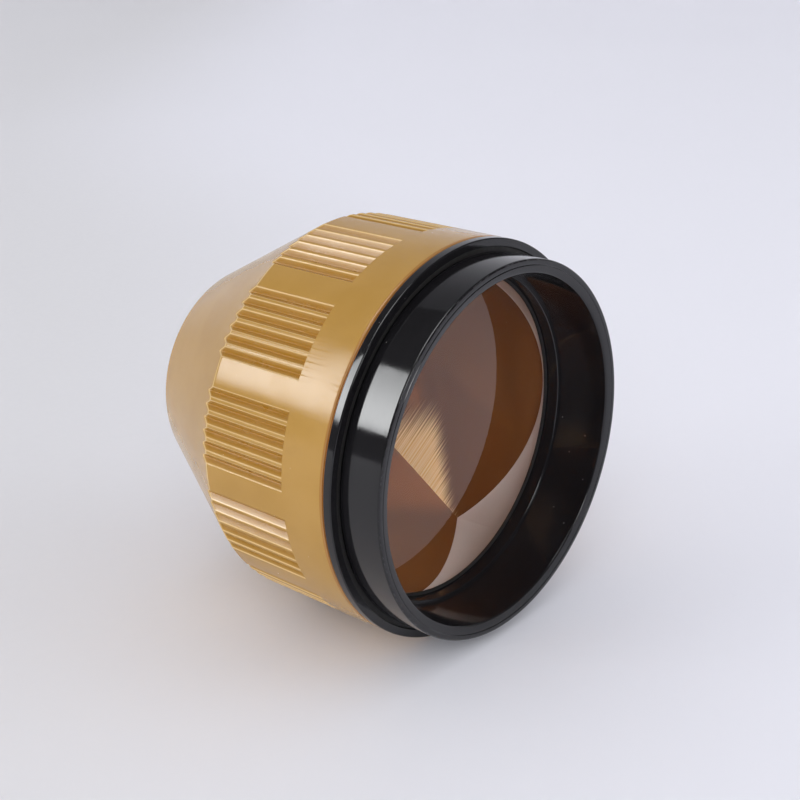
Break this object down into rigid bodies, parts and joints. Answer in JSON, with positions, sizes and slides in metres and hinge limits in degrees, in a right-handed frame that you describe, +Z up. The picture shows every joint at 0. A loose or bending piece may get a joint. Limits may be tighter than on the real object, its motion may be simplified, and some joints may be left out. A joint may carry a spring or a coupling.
{
  "type": "surveying prism",
  "caption": "Round corner-cube reflector prism in an ochre canister with fluted grip and rear cone, black flange and short front hood.",
  "frame": {"origin": "on the optical axis, in the plane of the flange's front face", "axes": "-Y out of the front along the optical axis, +Z up, the part lying on its grip as pictured"},
  "size_m": [0.075, 0.0677, 0.075],
  "materials": {
    "ochre_plastic": "moulded ochre plastic, softly glossy",
    "black_plastic": "polished black plastic",
    "black_rubber": "matt black rubber",
    "amber_gasket": "translucent amber gasket",
    "glass": "polished optical glass",
    "copper_coat": "copper coating under lacquer",
    "grey_plastic": "matt grey plastic"
  },
  "bodies": {
    "root": {"housing": "ochre_plastic", "front_hood": "black_plastic", "flange_ring": "black_plastic", "skirt_ring": "black_rubber", "joint_gasket": "amber_gasket", "prism": "glass", "mirror_coat": "copper_coat", "glass_gasket": "black_rubber", "centring_band": "black_rubber", "spigot_ring": "black_rubber", "cradle": "grey_plastic", "cradle_pad_1": "black_rubber", "cradle_pad_2": "black_rubber", "cradle_pad_3": "black_rubber"}
  },
  "joints": []
}
